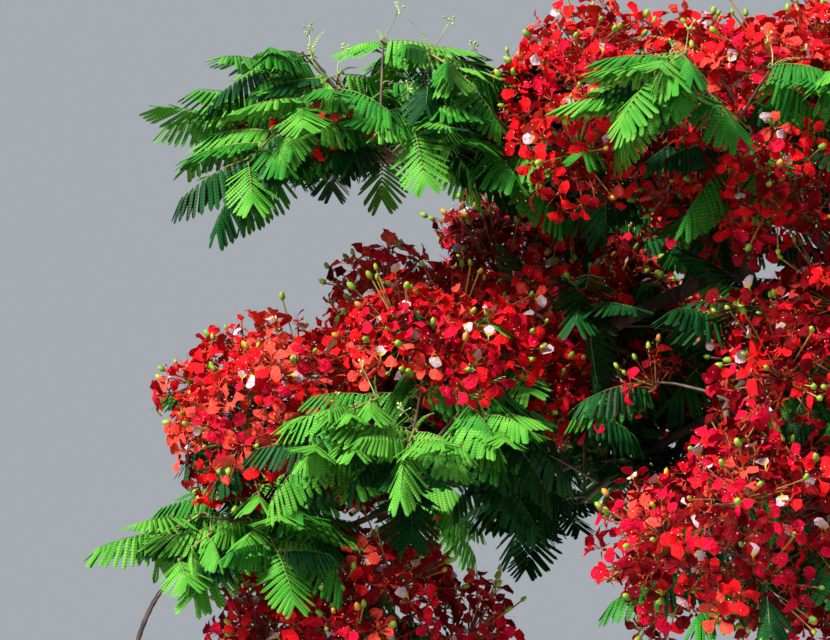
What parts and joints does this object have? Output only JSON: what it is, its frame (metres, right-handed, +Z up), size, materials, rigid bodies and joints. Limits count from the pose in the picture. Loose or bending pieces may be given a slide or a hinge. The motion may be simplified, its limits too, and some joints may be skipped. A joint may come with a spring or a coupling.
{
  "type": "flame tree",
  "caption": "Young flame tree in full bloom: a short flared trunk, forked limbs and arching boughs with masses of scarlet blossom, feathery leaves and long hanging seed pods.",
  "frame": {"origin": "middle of the flat cut under the trunk, at ground level", "axes": "+Z up along the trunk; -Y is the side that faces the picture's camera, and +X is to its right"},
  "size_m": [3.52, 3.142, 3.137],
  "materials": {
    "bark": "matte grey-brown bark, finely cracked, smoother and darker on the boughs",
    "blossom": "soft scarlet petals, some orange or crimson, and here and there one white petal with a yellow claw; green-yellow buds",
    "leaf": "twice-cut feathery leaves, bright yellow-green when young and deeper green inside the crown",
    "pod": "long flat woody seed pods, dark brown with a dull sheen"
  },
  "bodies": {
    "root": {"trunk": "bark", "limb_left": "bark", "limb_right": "bark", "limb_back": "bark", "fork_left": "bark", "fork_front": "bark", "fork_inner": "bark", "leader": "bark", "bough_low_left": "bark", "bough_weeping_left": "bark", "bough_high_left": "bark", "bough_weeping_front": "bark", "fork_front_right": "bark", "bough_high_front_right": "bark", "bough_low_front_right": "bark", "fork_right": "bark", "bough_high_right": "bark", "bough_low_right": "bark", "fork_back_right": "bark", "bough_high_back_right": "bark", "bough_low_back_right": "bark", "fork_back_left": "bark", "bough_high_back_left": "bark", "bough_low_back_left": "bark", "pod_left": "pod", "pod_right": "pod", "leaves_high_left": "leaf", "blossom_crown_left": "blossom", "blossom_crown_front": "blossom", "leaves_crown_front": "leaf", "blossom_front": "blossom", "blossom_left": "blossom", "blossom_left_tip": "blossom", "leaves_left": "leaf", "leaves_low_left": "leaf", "blossom_low_left": "blossom", "blossom_low_front": "blossom", "blossom_inner_high": "blossom", "blossom_inner_back": "blossom", "leaves_inner": "leaf", "blossom_top": "blossom", "blossom_top_left": "blossom", "blossom_crown_front_right": "blossom", "blossom_high_front_right": "blossom", "leaves_high_front_right": "leaf", "blossom_low_front_right": "blossom", "leaves_low_front_right": "leaf", "blossom_crown_right": "blossom", "blossom_high_right": "blossom", "blossom_low_right": "blossom", "leaves_low_right": "leaf", "blossom_crown_back_right": "blossom", "blossom_high_back_right": "blossom", "leaves_high_back_right": "leaf", "blossom_low_back_right": "blossom", "leaves_low_back_right": "leaf", "blossom_crown_back_left": "blossom", "blossom_high_back_left": "blossom", "blossom_low_back_left": "blossom", "leaves_low_back_left": "leaf"}
  },
  "joints": []
}
